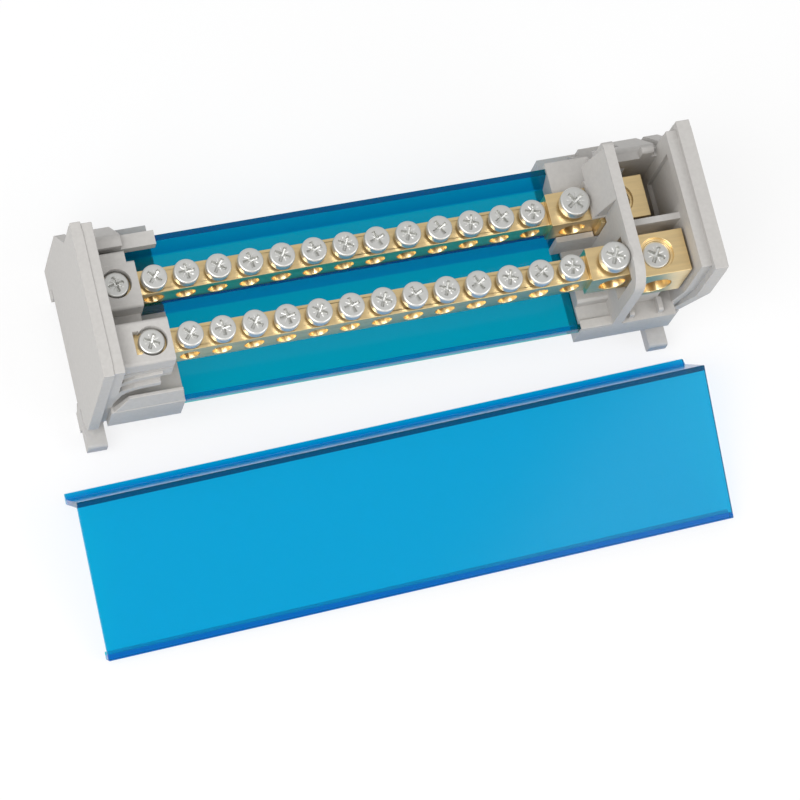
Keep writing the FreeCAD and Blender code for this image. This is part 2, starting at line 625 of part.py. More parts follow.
def make_right_support():
    """Right moulding: deck, partition, incoming compartment, end plate and rail feet."""
    end = RIGHT_END_X
    plate_x = RIGHT_PLATE_X
    groove_x = plate_x + PLATE_LAYER
    part_end = PARTITION_X + PARTITION_THICKNESS
    deck_top = FLOOR_TOP_Z + SUPPORT_SKIN
    body = joined(branch_housing(deck_top) + incoming_compartment(deck_top) + [
        end_plate(0.0, RIGHT_FOOT_FRONT_Y, RIGHT_FOOT_STEP_Z, groove_x, end),
        end_plate(PLATE_STEP, RIGHT_FOOT_FRONT_Y, RIGHT_FOOT_STEP_Z, plate_x, groove_x + 0.1),
        partition_wall(),
        block(RIGHT_TAB_X - 0.8, plate_x + 0.5, RIGHT_FOOT_FRONT_Y, RAIL_FRONT_Y, 1.0, 8.6),
        release_tab(RIGHT_TAB_X, RIGHT_FOOT_FRONT_Y),
        block(RIGHT_SUPPORT_START_X, plate_x + 0.5, BASE_FRONT_Y, BASE_BACK_Y - 0.5,
              DECK_BOTTOM_Z, deck_top),
        leg_rib(PARTITION_X, PARTITION_X + 2.4),
    ])
    panel_y0 = (FRONT_ROW_Y + REAR_ROW_Y) / 2.0 + 3.0
    cuts = [
        spring_slot(plate_x, end),
        foot_cuts(RIGHT_TAB_X - 1.0, end + 1.0),
        channel_seat(),
        block(plate_x - 0.1, plate_x + 1.4, panel_y0, REAR_ROW_Y + 7.0, deck_top + 6.0, NOSE_TOP_Z - 6.0),
    ]
    rows = [(FRONT_FIRST_X, FRONT_ROW_Y, FRONT_BAR_BOTTOM_Z), (REAR_FIRST_X, REAR_ROW_Y, REAR_BAR_BOTTOM_Z)]
    for first_x, row_y, bottom_z in rows:
        half_cube = CUBE_WIDTH / 2.0 + FIT_PLAY
        cube_start = incoming_x(first_x) - CUBE_LEAD - FIT_PLAY
        window_x = min(PARTITION_X - 1.0, cube_start)
        play_z = bottom_z + BRANCH_HEIGHT + FIT_PLAY
        cuts.append(block(window_x, part_end + 0.2, row_y - half_cube, row_y + half_cube,
                          cube_bottom_z(bottom_z), play_z))
        cuts.append(rod(BRANCH_HEAD_D + 2.0 * FIT_PLAY, 8.0, branch_x(first_x), row_y, play_z, Z_AXIS))
    cable_x = incoming_x(REAR_FIRST_X)
    cable_z = incoming_hole_z(REAR_BAR_BOTTOM_Z)
    cable_y = REAR_ROW_Y + CUBE_WIDTH / 2.0
    half_window = INCOMING_HOLE_D / 2.0 + CABLE_PLAY
    cuts.append(block(cable_x - half_window, cable_x + half_window, cable_y, BASE_BACK_Y + 1.0,
                      cable_z - half_window, cable_z + half_window))
    return body.cut(Part.makeCompound(cuts))


def cover_outline():
    """Section of the cover as it lies: (Y, Z) with the tall flange at the back."""
    wall = COVER_WALL
    flange = COVER_BACK_FLANGE
    lip = COVER_FRONT_LIP
    width = COVER_WIDTH
    flat = [
        (0.0, 0.0),
        (0.0, -flange + 2.6),
        (COVER_BEAD, -flange + 1.4),
        (COVER_BEAD, -flange),
        (-wall, -flange),
        (-wall, -wall),
        (-width + wall, -wall),
        (-width + wall, -lip + 0.9),
        (-width + wall + 0.8, -lip),
        (-width, -lip),
        (-width, 0.0),
    ]
    tilt = math.atan2(flange - lip, width - wall)
    turned = []
    for y, z in flat:
        turned.append((y * math.cos(tilt) - z * math.sin(tilt), y * math.sin(tilt) + z * math.cos(tilt)))
    base_z = min(z for y, z in turned)
    return [(COVER_BACK_Y + y, z - base_z) for y, z in turned]


def make_cover():
    """Clip-on cover strip, off the block and resting on its flange and its front lip."""
    half = COVER_LENGTH / 2.0
    strip = profile(cover_outline(), COVER_CENTRE_X - half, COVER_CENTRE_X + half)
    middle = FreeCAD.Vector(COVER_CENTRE_X, COVER_BACK_Y, 0)
    strip.rotate(middle, Z_AXIS, COVER_TURN_DEG)
    return strip


def all_parts():
    """Every piece with its name."""
    rear = (REAR_FIRST_X, REAR_ROW_Y, REAR_BAR_BOTTOM_Z)
    front = (FRONT_FIRST_X, FRONT_ROW_Y, FRONT_BAR_BOTTOM_Z)
    return {
        "left_end_support": make_left_support(),
        "right_end_support": make_right_support(),
        "base_channel": make_base_channel(),
        "cover": make_cover(),
        "rear_busbar": make_busbar(*rear),
        "front_busbar": make_busbar(*front),
        "rear_outgoing_screws": make_outgoing_screws(*rear),
        "front_outgoing_screws": make_outgoing_screws(*front),
        "rear_branch_screw": make_branch_screw(*rear),
        "front_branch_screw": make_branch_screw(*front),
        "rear_incoming_screw": make_incoming_screw(*rear),
        "front_incoming_screw": make_incoming_screw(*front),
        "rear_end_screw": make_end_screw(*rear),
        "front_end_screw": make_end_screw(*front),
    }


os.makedirs("parts", exist_ok=True)
for name, shape in all_parts().items():
    shape.exportStep("parts/" + name + ".step")
    print(name, "valid", shape.isValid(), "solids", len(shape.Solids), "mm3", round(shape.Volume, 1))
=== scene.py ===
import math

import bmesh
import bpy
from bpy.props import FloatProperty, FloatVectorProperty, IntProperty, PointerProperty
from bpy.types import Operator, Panel, PropertyGroup
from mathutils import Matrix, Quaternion, Vector


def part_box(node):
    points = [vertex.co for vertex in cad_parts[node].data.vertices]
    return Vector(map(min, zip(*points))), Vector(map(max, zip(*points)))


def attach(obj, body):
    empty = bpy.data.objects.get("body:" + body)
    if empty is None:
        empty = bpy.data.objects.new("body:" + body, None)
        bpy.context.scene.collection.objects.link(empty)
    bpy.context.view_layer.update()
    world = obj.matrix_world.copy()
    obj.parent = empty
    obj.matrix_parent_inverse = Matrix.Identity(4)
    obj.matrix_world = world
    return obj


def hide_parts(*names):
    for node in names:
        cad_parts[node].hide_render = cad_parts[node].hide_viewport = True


bl_info = {
    "name": "Power distribution block",
    "version": (1, 0, 0),
    "blender": (4, 5, 0),
    "location": "3D View > Sidebar > Block",
    "description": "Dresses a rail-mounted power distribution block and its loose cover",
    "category": "Object",
}

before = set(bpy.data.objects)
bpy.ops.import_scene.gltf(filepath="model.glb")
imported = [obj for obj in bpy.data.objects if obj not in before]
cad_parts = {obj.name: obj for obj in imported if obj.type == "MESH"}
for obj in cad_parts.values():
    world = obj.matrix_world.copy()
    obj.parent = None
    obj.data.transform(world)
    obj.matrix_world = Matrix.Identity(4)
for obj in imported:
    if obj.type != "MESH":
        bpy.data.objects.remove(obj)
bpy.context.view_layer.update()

MM = 0.001
BODY = "root"
SUPPORT_NODES = ("left_end_support", "right_end_support")
BUSBAR_NODES = ("rear_busbar", "front_busbar")
SIDES = ("rear", "front")
OUTGOING_SCREWS_PER_BAR = 13

# Edges
BEND_ANGLE = math.radians(40.0)
EDGE_SEGMENTS = 2
WELD_DISTANCE = 0.002 * MM
DETAIL_EDGE = 0.25 * MM

# Screws. Shares are of the head's radius, unless a name says otherwise.
SMALL_HEAD_HEIGHT = 2.6 * MM
SMALL_SHANK_SHARE = 5.0 / 7.2
LARGE_HEAD_HEIGHT = 3.0 * MM
LARGE_SHANK_SHARE = 6.0 / 8.4
HEAD_CORNER_ANGLE = math.radians(38.0)
HEAD_RINGS = 16
RIM_SHARE = 0.15
RIM_LIMIT = 0.55 * MM
RIM_STEPS = 4
UNDERSIDE_EDGE = 0.1 * MM
THREAD_ROOT_OF_SHANK = 0.90
TIP_OF_SHANK = 0.92

# Cross recess, and the shallow marks between its arms. REACH is counted in half spans.
SLOT_OF_SPAN = 0.17
RECESS_DEPTH_SHARE = 0.42
RECESS_LIMIT = 1.6 * MM
WALL_OF_SLOT = 0.35
WALL_START = 0.3
FLOOR_RISE = 0.45
MARK_OF_DEPTH = 0.10
MARK_FIRST_REACH = 0.25
MARK_LAST_REACH = 1.05
MARK_FADE_IN = 5.0
MARK_FADE_OUT = 6.0

# Turns of the cross recesses in radians
GOLDEN_ANGLE = 2.39996
BRANCH_TURNS = {"rear": 0.6, "front": 1.1}
INCOMING_TURNS = {"rear": 0.3, "front": 1.0}
END_TURNS = {"rear": 0.2, "front": 1.1}

# Plates of the supports in millimetres. Fillers stay SUNK inside the solids' own faces.
SUNK = 0.02
NOSE_FRONT_Y = -22.0
NOSE_BACK_Y = 22.25
NOSE_TOP_Z = 62.0
CORNER_SPAN = 5.0
LEFT_PLATE_X = (-87.98, -85.02)
LEFT_INNER_PLATE_X = (-85.1, -81.95)
RIGHT_PLATE_X = (84.02, 87.98)
RIGHT_INNER_PLATE_X = (81.02, 84.1)
INNER_PLATE_INSET = 1.8
RIM_INSET = 0.5
RIM_OVERLAP = 0.3
RIM_FRONT_Z = 40.5
RIM_BACK_Z = 46.5

# Ribs and apron under the left front housing: (X, Z) along each rib, and for the apron's lower and
# upper edge its right X, left X, front Y, back Y and Z
LOWER_RIB = (
    (-69.4, 39.2), (-76.5, 38.6), (-79.2, 37.4), (-81.0, 34.6),
    (-82.4, 29.0), (-83.6, 21.0), (-84.2, 15.6),
)
LOWER_RIB_HALF_WIDTH = 1.3
LOWER_RIB_Y = (-19.6, -18.0)
UPPER_RIB = ((-69.4, 46.0), (-77.0, 45.2), (-79.6, 43.8), (-81.8, 40.4), (-83.6, 33.0))
UPPER_RIB_HALF_WIDTH = 0.8
UPPER_RIB_Y = (-19.2, -18.0)
APRON_EDGES = ((-61.72, -82.0, -21.98, -20.2, 26.2), (-62.6, -77.8, -20.6, -19.6, 33.0))

# Roof behind the rear branch screw as (X, Z), and the strips on the right deck's front edge
ROOF_OUTLINE = ((62.3, 47.2), (62.3, 60.6), (58.6, 47.6), (58.6, 47.2))
ROOF_Y = (3.4, 18.6)
DECK_X = (53.02, 62.4)
DECK_STRIPS = (((-21.98, -19.6), (25.95, 26.7)), ((-20.0, -19.2), (25.5, 26.68)))

# Materials
GRAIN_DETAIL = 4.0
TONE_STOPS = (0.35, 0.65)
SHADOW_TINT_POWER = 0.5
FLOOR_COLOUR = (0.90, 0.90, 0.90)
FLOOR_WHITE_SHARE = 0.75
WHITE = (1.0, 1.0, 1.0, 1.0)

# Studio
SENSOR_MM = 36.0
IMAGE_WIDTH_PX = 800.0
NEAREST = 0.01
FARTHEST = 20.0
FLOOR_HALF_WIDTH = 3.0
LAMP_AIM = (0.0, -0.02, 0.03)
KEY_PLACE = (-0.45, -0.25, 0.75)
KEY_WIDTH = 0.5
FILL_PLACE = (0.55, -0.45, 0.6)
FILL_WIDTH = 0.6


class BlockSizes(PropertyGroup):
    """Sizes of the finish that the plain solids leave out."""

    support_edge: FloatProperty(
        name="Support edge radius",
        description="Rounding of the moulded supports' edges",
        default=0.35 * MM,
        min=0.0,
        unit="LENGTH",
    )
    plastic_edge: FloatProperty(
        name="Sheet edge radius",
        description="Rounding of the channel's and the cover's edges",
        default=0.25 * MM,
        min=0.0,
        unit="LENGTH",
    )
    brass_edge: FloatProperty(
        name="Bar edge radius",
        description="Rounding of the busbars' machined edges",
        default=0.22 * MM,
        min=0.0,
        unit="LENGTH",
    )
    thread_pitch: FloatProperty(
        name="Thread pitch",
        description="Distance between the turns on the small screws",
        default=0.8 * MM,
        min=0.2 * MM,
        unit="LENGTH",
    )
    recess_share: FloatProperty(
        name="Recess span",
        description="Width of the driver recess as a share of the head",
        default=0.62,
        min=0.3,
        max=0.9,
        subtype="FACTOR",
    )
    head_segments: IntProperty(
        name="Head segments",
        description="Facets round each screw head",
        default=64,
        min=16,
        max=160,
    )


class BlockColours(PropertyGroup):
    """Colours of the materials."""

    support: FloatVectorProperty(
        name="Supports",
        description="Light grey of the moulded supports",
        default=(0.495, 0.48, 0.46),
        size=3,
        min=0.0,
        max=1.0,
        subtype="COLOR",
    )
    cover: FloatVectorProperty(
        name="Cover",
        description="Tint of the translucent cover's surface",
        default=(0.0, 0.75, 0.75),
        size=3,
        min=0.0,
        max=1.0,
        subtype="COLOR",
    )
    channel: FloatVectorProperty(
        name="Channel",
        description="Tint of the translucent base channel's surface",
        default=(0.005, 0.73, 0.56),
        size=3,
        min=0.0,
        max=1.0,
        subtype="COLOR",
    )
    depth: FloatVectorProperty(
        name="Depth tint",
        description="Tint that grows with the thickness of translucent plastic",
        default=(0.02, 0.45, 0.90),
        size=3,
        min=0.0,
        max=1.0,
        subtype="COLOR",
    )
    brass: FloatVectorProperty(
        name="Brass",
        description="Colour of the busbars",
        default=(0.92, 0.70, 0.37),
        size=3,
        min=0.0,
        max=1.0,
        subtype="COLOR",
    )
    plating: FloatVectorProperty(
        name="Plating",
        description="Colour of the plated screws",
        default=(0.84, 0.89, 0.88),
        size=3,
        min=0.0,
        max=1.0,
        subtype="COLOR",
    )


class StudioSettings(PropertyGroup):
    """Camera and lamps."""

    azimuth: FloatProperty(
        name="Azimuth",
        description="Camera's turn round the block from its front",
        default=math.radians(-40.71),
        subtype="ANGLE",
    )
    elevation: FloatProperty(
        name="Elevation",
        description="Camera's height above the floor as an angle",
        default=math.radians(69.805),
        subtype="ANGLE",
    )
    roll: FloatProperty(
        name="Roll",
        description="Camera's turn about its own line of sight",
        default=math.radians(28.62),
        subtype="ANGLE",
    )
    distance: FloatProperty(
        name="Distance",
        description="From the camera to the point it looks at",
        default=1.0807,
        unit="LENGTH",
    )
    aim: FloatVectorProperty(
        name="Aim",
        description="Point that the camera looks at",
        default=(-0.0013, -0.0309, 0.020),
        size=3,
        subtype="TRANSLATION",
        unit="LENGTH",
    )
    focal_px: FloatProperty(
        name="Focal length in pixels",
        description="Camera's focal length, counted in pixels of the square picture",
        default=3872.7,
    )
    key_power: FloatProperty(
        name="Key lamp",
        description="Power of the large lamp over the left side",
        default=4.6,
        min=0.0,
        unit="POWER",
    )
    fill_power: FloatProperty(
        name="Fill lamp",
        description="Power of the lamp over the right side",
        default=2.4,
        min=0.0,
        unit="POWER",
    )
    sky: FloatProperty(
        name="Room light",
        description="Strength of the even light all round",
        default=0.60,
        min=0.0,
    )


class BlockSettings(PropertyGroup):
    """Everything that the panel shows."""

    sizes: PointerProperty(type=BlockSizes)
    colours: PointerProperty(type=BlockColours)
    studio: PointerProperty(type=StudioSettings)


def settings():
    """The scene's settings for this block."""
    return bpy.context.scene.distribution_block


# Materials


def new_material(name):
    """Empty node material with its output."""
    material = bpy.data.materials.new(name)
    material.use_nodes = True
    tree = material.node_tree
    tree.nodes.clear()
    output = tree.nodes.new("ShaderNodeOutputMaterial")
    return material, tree, output


def shared_material(name, maker):
    """A material made once and used by several pieces."""
    found = bpy.data.materials.get(name)
    return found or maker()


def principled(tree, colour, metallic, roughness):
    """Principled shader with its plain values set."""
    shader = tree.nodes.new("ShaderNodeBsdfPrincipled")
    shader.inputs["Base Color"].default_value = (*colour, 1.0)
    shader.inputs["Metallic"].default_value = metallic
    shader.inputs["Roughness"].default_value = roughness
    return shader


def add_grain(tree, shader, scale, stretch, height, strength):
    """Fine surface relief from stretched noise in the object's own frame."""
    place = tree.nodes.new("ShaderNodeTexCoord")
    mapping = tree.nodes.new("ShaderNodeMapping")
    mapping.inputs["Scale"].default_value = stretch
    noise = tree.nodes.new("ShaderNodeTexNoise")
    noise.inputs["Scale"].default_value = scale
    noise.inputs["Detail"].default_value = GRAIN_DETAIL
    bump = tree.nodes.new("ShaderNodeBump")
    bump.inputs["Distance"].default_value = height
    bump.inputs["Strength"].default_value = strength
    tree.links.new(place.outputs["Object"], mapping.inputs["Vector"])
    tree.links.new(mapping.outputs["Vector"], noise.inputs["Vector"])
    tree.links.new(noise.outputs["Fac"], bump.inputs["Height"])
    tree.links.new(bump.outputs["Normal"], shader.inputs["Normal"])
    return noise


def add_tone(tree, shader, noise, colour, spread):
    """Slight change of tone over the surface."""
    ramp = tree.nodes.new("ShaderNodeValToRGB")
    darker = [channel * (1.0 - spread) for channel in colour]
    lighter = [min(1.0, channel * (1.0 + spread)) for channel in colour]
    for element, position, tone in zip(ramp.color_ramp.elements, TONE_STOPS, (darker, lighter)):
        element.position = position
        element.color = (*tone, 1.0)
    tree.links.new(noise.outputs["Fac"], ramp.inputs["Fac"])
    tree.links.new(ramp.outputs["Color"], shader.inputs["Base Color"])


def grained_material(name, colour, metallic, roughness, grain, spread):
    """Opaque material with fine relief and a slight change of tone."""
    material, tree, output = new_material(name)
    shader = principled(tree, colour, metallic, roughness)
    noise = add_grain(tree, shader, **grain)
    add_tone(tree, shader, noise, colour, spread)
    tree.links.new(shader.outputs["BSDF"], output.inputs["Surface"])
    return material


def moulded_grey():
    """Matt moulded plastic of the supports."""
    return grained_material(
        "moulded_grey_plastic",
        settings().colours.support,
        metallic=0.0,
        roughness=0.55,
        grain={"scale": 900.0, "stretch": (1.0, 1.0, 1.0), "height": 0.05 * MM, "strength": 0.25},
        spread=0.03,
    )


def machined_brass():
    """Brass with fine tool marks along the bar."""
    return grained_material(
        "machined_brass",
        settings().colours.brass,
        metallic=1.0,
        roughness=0.30,
        grain={"scale": 700.0, "stretch": (0.08, 1.0, 1.0), "height": 0.04 * MM, "strength": 0.4},
        spread=0.06,
    )


def plated_steel():
    """Bright plating of the screws."""
    return grained_material(
        "plated_steel",
        settings().colours.plating,
        metallic=1.0,
        roughness=0.24,
        grain={"scale": 1400.0, "stretch": (1.0, 1.0, 1.0), "height": 0.02 * MM, "strength": 0.3},
        spread=0.05,
    )


def tinted_plastic(name, colour, density):
    """Clear tinted plastic that is darker where light passes through more of it."""
    material, tree, output = new_material(name)
    shader = principled(tree, colour, metallic=0.0, roughness=0.12)
    shader.inputs["IOR"].default_value = 1.22
    shader.inputs["Transmission Weight"].default_value = 0.92
    add_grain(tree, shader, scale=60.0, stretch=(0.3, 1.0, 1.0), height=0.2 * MM, strength=0.08)
    see_through = tree.nodes.new("ShaderNodeBsdfTransparent")
    shadow_tint = [channel ** SHADOW_TINT_POWER for channel in colour]
    see_through.inputs["Color"].default_value = (*shadow_tint, 1.0)
    path = tree.nodes.new("ShaderNodeLightPath")
    mix = tree.nodes.new("ShaderNodeMixShader")
    tree.links.new(path.outputs["Is Shadow Ray"], mix.inputs["Fac"])
    tree.links.new(shader.outputs["BSDF"], mix.inputs[1])
    tree.links.new(see_through.outputs["BSDF"], mix.inputs[2])
    tree.links.new(mix.outputs["Shader"], output.inputs["Surface"])
    absorb = tree.nodes.new("ShaderNodeVolumeAbsorption")
    absorb.inputs["Color"].default_value = (*settings().colours.depth, 1.0)
    absorb.inputs["Density"].default_value = density
    tree.links.new(absorb.outputs["Volume"], output.inputs["Volume"])
    return material


def pale_floor():
    """Pale floor with soft shadows, near white to the camera, in reflections and through plastic."""
    material, tree, output = new_material("pale_floor")
    shader = principled(tree, FLOOR_COLOUR, metallic=0.0, roughness=0.9)
    glow = tree.nodes.new("ShaderNodeEmission")
    glow.inputs["Color"].default_value = WHITE
    glow.inputs["Strength"].default_value = 1.0
    path = tree.nodes.new("ShaderNodeLightPath")
    seen = tree.nodes.new("ShaderNodeMath")
    seen.operation = "MAXIMUM"
    passed = tree.nodes.new("ShaderNodeMath")
    passed.operation = "MAXIMUM"
    share = tree.nodes.new("ShaderNodeMath")
    share.operation = "MULTIPLY"
    share.inputs[1].default_value = FLOOR_WHITE_SHARE
    mix = tree.nodes.new("ShaderNodeMixShader")
    tree.links.new(path.outputs["Is Camera Ray"], seen.inputs[0])
    tree.links.new(path.outputs["Is Glossy Ray"], seen.inputs[1])
    tree.links.new(seen.outputs["Value"], passed.inputs[0])
    tree.links.new(path.outputs["Is Transmission Ray"], passed.inputs[1])
    tree.links.new(passed.outputs["Value"], share.inputs[0])
    tree.links.new(share.outputs["Value"], mix.inputs["Fac"])
    tree.links.new(shader.outputs["BSDF"], mix.inputs[1])
    tree.links.new(glow.outputs["Emission"], mix.inputs[2])
    tree.links.new(mix.outputs["Shader"], output.inputs["Surface"])
    return material


# Shapes


def add_object(name, data):
    """Makes an object and puts it in the scene."""
    item = bpy.data.objects.new(name, data)
    bpy.context.scene.collection.objects.link(item)
    return item


def round_edges(piece, width):
    """Rounds the edges at which a piece bends sharply."""
    rounding = piece.modifiers.new("round_edges", "BEVEL")
    rounding.width = width
    rounding.segments = EDGE_SEGMENTS
    rounding.limit_method = "ANGLE"
    rounding.angle_limit = BEND_ANGLE
    rounding.use_clamp_overlap = True
    rounding.harden_normals = True


def dress(node, material, edge_radius):
    """Gives a solid its material and softly rounded edges."""
    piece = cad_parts[node]
    piece.data.materials.clear()
    piece.data.materials.append(material)
    weld = piece.modifiers.new("join_facets", "WELD")
    weld.merge_threshold = WELD_DISTANCE
    if edge_radius > 0.0:
        round_edges(piece, edge_radius)
    return piece


def along_x(a, b, c):
    """Place of a point whose outline lies across the block."""
    return (c, a, b)


def along_y(a, b, c):
    """Place of a point whose outline lies along the block."""
    return (a, c, b)


def add_body(points, faces, lower, upper):
    """Adds a closed body between two rings that have the same number of points."""
    first = len(points)
    count = len(lower)
    points.extend(lower)
    points.extend(upper)
    faces.append([first + index for index in reversed(range(count))])
    faces.append([first + count + index for index in range(count)])
    for index in range(count):
        low = first + index
        following = first + (index + 1) % count
        faces.append((low, following, count + following, count + low))


def add_prism(points, faces, outline, span, place):
    """Adds a prism over an outline; place(a, b, c) turns outline and span into a point."""
    rings = [[place(a * MM, b * MM, level * MM) for a, b in outline] for level in span]
    add_body(points, faces, *rings)


def add_box(points, faces, x_range, y_range, z_range):
    """Adds a box between two opposite corners."""
    (front, back), (bottom, top) = y_range, z_range
    outline = [(front, bottom), (back, bottom), (back, top), (front, top)]
    add_prism(points, faces, outline, x_range, along_x)


def add_square_rim(points, faces, x_range, inset, outer):
    """Fills the round corners of a plate's nose, so that they end nearly square."""
    inner_front = NOSE_FRONT_Y + inset + SUNK
    inner_back = NOSE_BACK_Y - inset - SUNK
    inner_top = NOSE_TOP_Z - inset - SUNK
    corner_z = (inner_top - CORNER_SPAN, inner_top)
    add_box(points, faces, x_range, (inner_front, inner_front + CORNER_SPAN), corner_z)
    add_box(points, faces, x_range, (inner_back - CORNER_SPAN, inner_back), corner_z)
    if outer < inset:
        width = inset - outer + RIM_OVERLAP
        front, back, top = NOSE_FRONT_Y + outer, NOSE_BACK_Y - outer, NOSE_TOP_Z - outer
        arch = [
            (front, RIM_FRONT_Z),
            (front + width, RIM_FRONT_Z),
            (front + width, top - width),
            (back - width, top - width),
            (back - width, RIM_BACK_Z),
            (back, RIM_BACK_Z),
            (back, top),
            (front, top),
        ]
        add_prism(points, faces, arch, x_range, along_x)


def rib_outline(path, half_width):
    """Outline of a strip that follows a path."""
    upper = []
    lower = []
    for index, (a, b) in enumerate(path):
        before = path[max(0, index - 1)]
        after = path[min(len(path) - 1, index + 1)]
        da, db = after[0] - before[0], after[1] - before[1]
        length = math.hypot(da, db)
        upper.append((a - db / length * half_width, b + da / length * half_width))
        lower.append((a + db / length * half_width, b - da / length * half_width))
    return upper + lower[::-1]


def add_apron(points, faces):
    """Adds the sloping apron between its lower and its upper edge."""
    rings = []
    for right_x, left_x, front_y, back_y, z in APRON_EDGES:
        corners = ((right_x, front_y), (right_x, back_y), (left_x, back_y), (left_x, front_y))
        rings.append([(x * MM, y * MM, z * MM) for x, y in corners])
    add_body(points, faces, *rings)


def make_finish(name, points, faces):
    """One grey piece of moulded detail that rides with the supports."""
    mesh = bpy.data.meshes.new(name)
    mesh.from_pydata(points, [], faces)
    mesh.validate()
    shell = bmesh.new()
    shell.from_mesh(mesh)
    bmesh.ops.recalc_face_normals(shell, faces=shell.faces)
    shell.to_mesh(mesh)
    shell.free()
    piece = add_object(name, mesh)
    piece.data.materials.append(shared_material("moulded_grey_plastic", moulded_grey))
    round_edges(piece, DETAIL_EDGE)
    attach(piece, BODY)


class ScrewShape:
    """Sizes of one screw about its own vertical axis."""

    def __init__(self, head_radius, head_top, head_bottom, shank_radius, tip, turn):
        self.head_radius = head_radius
        self.head_top = head_top
        self.head_bottom = head_bottom
        self.shank_radius = shank_radius
        self.tip = tip
        self.turn = turn


def headed_screw(low, high, head_height, shank_share, turn):
    """Shape of a screw that fills its node's box and has a thinner shank under the head."""
    radius = (high.y - low.y) / 2.0
    return ScrewShape(radius, high.z, high.z - head_height, radius * shank_share, low.z, turn)


def smooth(value):
    """Soft step from 0 to 1."""
    clipped = max(0.0, min(1.0, value))
    return clipped * clipped * (3.0 - 2.0 * clipped)


def recess_depth(u, v, half_span, half_slot, depth):
    """Depth of the cross recess below the head's top at one point of the head."""
    arm_a = max(abs(u) - half_span, abs(v) - half_slot)
    arm_b = max(abs(v) - half_span, abs(u) - half_slot)
    inside = -min(arm_a, arm_b)
    reach = math.hypot(u, v) / half_span
    wall = WALL_OF_SLOT * half_slot
    cross = smooth(inside / wall + WALL_START) * depth * (1.0 - FLOOR_RISE * min(1.0, reach))
    across = min(abs(u - v), abs(u + v)) / math.sqrt(2.0)
    ends = smooth((MARK_LAST_REACH - reach) * MARK_FADE_OUT)
    starts = smooth((reach - MARK_FIRST_REACH) * MARK_FADE_IN)
    mark = smooth(1.0 - across / wall) * ends * starts
    return max(cross, MARK_OF_DEPTH * depth * mark)


def head_profile(shape):
    """Rings over the head as radius and height, closer together near the rim."""
    rim = min(RIM_LIMIT, RIM_SHARE * shape.head_radius)
    flat = shape.head_radius - rim
    rings = [(flat * (index + 1) / HEAD_RINGS, shape.head_top) for index in range(HEAD_RINGS)]
    for step in range(1, RIM_STEPS + 1):
        radius = flat + rim * math.sin(math.radians(90.0 / RIM_STEPS * step))
        drop = rim - math.sqrt(max(0.0, rim * rim - (radius - flat) ** 2))
        rings.append((radius, shape.head_top - drop))
    return rings


def shank_profile(shape, height, pitch):
    """Rings below the head's rim as radius and height: the underside, the turns and the tip."""
    rings = []
    if shape.head_bottom > shape.tip:
        rings.append((shape.head_radius, shape.head_bottom + UNDERSIDE_EDGE))
        rings.append((shape.head_radius - UNDERSIDE_EDGE, shape.head_bottom))
        rings.append((shape.shank_radius, shape.head_bottom))
        height = shape.head_bottom
    while height - pitch > shape.tip:
        rings.append((shape.shank_radius * THREAD_ROOT_OF_SHANK, height - 0.5 * pitch))
        rings.append((shape.shank_radius, height - pitch))
        height -= pitch
    rings.append((shape.shank_radius * TIP_OF_SHANK, shape.tip))
    return rings


def add_screw(points, faces, centre, shape):
    """Adds one screw's vertices and faces to the lists."""
    sizes = settings().sizes
    around = sizes.head_segments
    half_span = shape.head_radius * sizes.recess_share
    half_slot = SLOT_OF_SPAN * half_span
    depth = min(RECESS_LIMIT, RECESS_DEPTH_SHARE * shape.head_radius)
    head = head_profile(shape)
    profile = head + shank_profile(shape, head[-1][1], sizes.thread_pitch)
    first = len(points)
    points.append((centre[0], centre[1], shape.head_top - depth))
    for ring, (radius, z) in enumerate(profile):
        for index in range(around):
            angle = 2.0 * math.pi * index / around
            x = radius * math.cos(angle)
            y = radius * math.sin(angle)
            lowered = z
            if ring < len(head):
                u = x * math.cos(shape.turn) + y * math.sin(shape.turn)
                v = y * math.cos(shape.turn) - x * math.sin(shape.turn)
                lowered = z - recess_depth(u, v, half_span, half_slot, depth)
            points.append((centre[0] + x, centre[1] + y, lowered))
    for index in range(around):
        following = (index + 1) % around
        faces.append((first, first + 1 + index, first + 1 + following))
        for ring in range(len(profile) - 1):
            low = first + 1 + ring * around
            high = low + around
            faces.append((low + index, high + index, high + following, low + following))
    last = first + 1 + (len(profile) - 1) * around
    faces.append([last + index for index in reversed(range(around))])


def make_screws(name, node, places, shapes):
    """One piece with a screw at each place, standing for a node of the frame."""
    points = []
    faces = []
    for centre, shape in zip(places, shapes):
        add_screw(points, faces, centre, shape)
    mesh = bpy.data.meshes.new(name)
    mesh.from_pydata(points, [], faces)
    mesh.validate()
    for polygon in mesh.polygons:
        polygon.use_smooth = True
    piece = add_object(name, mesh)
    piece.data.materials.append(shared_material("plated_steel", plated_steel))
    sharp = piece.modifiers.new("keep_corners", "EDGE_SPLIT")
    sharp.split_angle = HEAD_CORNER_ANGLE
    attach(piece, BODY)
    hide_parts(node)


def single_place(node):
    """Axis of a node that holds one screw."""
    low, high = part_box(node)
    return [((low.x + high.x) / 2.0, (low.y + high.y) / 2.0)]


# Steps


class BLOCK_OT_supports(Operator):
    """Give the two moulded supports their grey plastic and rounded edges"""

    bl_idname = "distribution_block.supports"
    bl_label = "Dress supports"

    def execute(self, context):
        material = shared_material("moulded_grey_plastic", moulded_grey)
        for node in SUPPORT_NODES:
            piece = dress(node, material, settings().sizes.support_edge)
        return {"FINISHED"}


